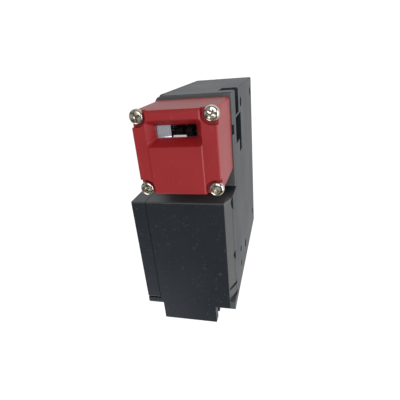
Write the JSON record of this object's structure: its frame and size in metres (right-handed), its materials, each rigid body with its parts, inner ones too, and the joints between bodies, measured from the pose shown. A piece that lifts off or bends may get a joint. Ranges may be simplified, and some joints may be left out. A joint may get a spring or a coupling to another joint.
{
  "type": "safety door switch",
  "caption": "Safety door switch with solenoid guard lock: a red key head on a black two-part case, a drum-worked plunger, contacts, lock lever and side conduit hub.",
  "frame": {"origin": "centre of the base, where the switch stands with its key head up", "axes": "+Z along the head screws, from the base towards the key head; +Y out of the mounting face; -Y out of the cover; +X out of the side hub, with the head column on -X"},
  "size_m": [0.099, 0.041, 0.097],
  "materials": {
    "case_plastic": "fine matte black glass-filled plastic",
    "head_plastic": "satin red plastic",
    "seal_rubber": "black rubber",
    "nickel_steel": "nickel-plated steel",
    "bright_steel": "bright stamped steel",
    "insert_brass": "plain brass",
    "drum_plastic": "black engineering plastic",
    "contact_plastic": "ivory plastic",
    "contact_metal": "bare contact strip",
    "coil_wire": "enamelled copper winding",
    "yoke_steel": "zinc-plated and passivated steel"
  },
  "bodies": {
    "case": {"housing": "case_plastic", "front_cover": "case_plastic", "cover_gasket": "seal_rubber", "cover_screws": "nickel_steel", "head": "head_plastic", "head_gasket": "seal_rubber", "head_screws": "nickel_steel", "head_inserts": "insert_brass", "cam_frame": "bright_steel", "cam_shaft": "bright_steel", "plunger_bush": "contact_plastic", "contact_block": "contact_plastic", "fixed_contacts": "contact_metal", "terminal_screws": "nickel_steel", "solenoid_frame": "yoke_steel", "solenoid_screws": "nickel_steel", "bobbin": "contact_plastic", "coil": "coil_wire", "fixed_core": "yoke_steel", "lever_pin": "bright_steel", "blanking_plug": "case_plastic", "earth_screw": "insert_brass"},
    "drum": {"cam_drum": "drum_plastic"},
    "plunger_group": {"plunger": "bright_steel", "contact_carrier": "drum_plastic", "contact_bridges": "contact_metal", "plunger_spring": "bright_steel"},
    "armature_group": {"armature": "yoke_steel", "armature_pin": "bright_steel", "lock_spring": "bright_steel"},
    "lever": {"lock_lever": "yoke_steel"},
    "bar": {"lock_bar": "yoke_steel"}
  },
  "joints": [
    {"name": "cam_turn", "type": "hinge", "parent": "case", "child": "drum", "pos_m": [-0.0315, 0.0065, 0.0815], "axis": [0, -1, 0], "range_deg": [0, 45]},
    {"name": "plunger_slide", "type": "slide", "parent": "case", "child": "plunger_group", "axis": [0, 0, 1], "range_m": [0, 0.0032], "deforming": ["plunger_spring"]},
    {"name": "armature_slide", "type": "slide", "parent": "case", "child": "armature_group", "axis": [0, 0, -1], "range_m": [0, 0.004], "stiffness_N_per_m": 300, "springref_m": -0.003, "deforming": ["lock_spring"]},
    {"name": "lever_turn", "type": "hinge", "parent": "case", "child": "lever", "pos_m": [-0.002, 0.00665, 0.055], "axis": [0, 1, 0], "range_deg": [0, 12.06]},
    {"name": "lock_slide", "type": "slide", "parent": "case", "child": "bar", "axis": [-1, 0, 0], "range_m": [0, 0.00253]}
  ],
  "couplings": [
    {"joint": "cam_turn", "follows": "plunger_slide", "rad_per_m": 245.43},
    {"joint": "lever_turn", "follows": "armature_slide", "rad_per_m": 52.63},
    {"joint": "lock_slide", "follows": "armature_slide", "ratio": 0.63157}
  ]
}
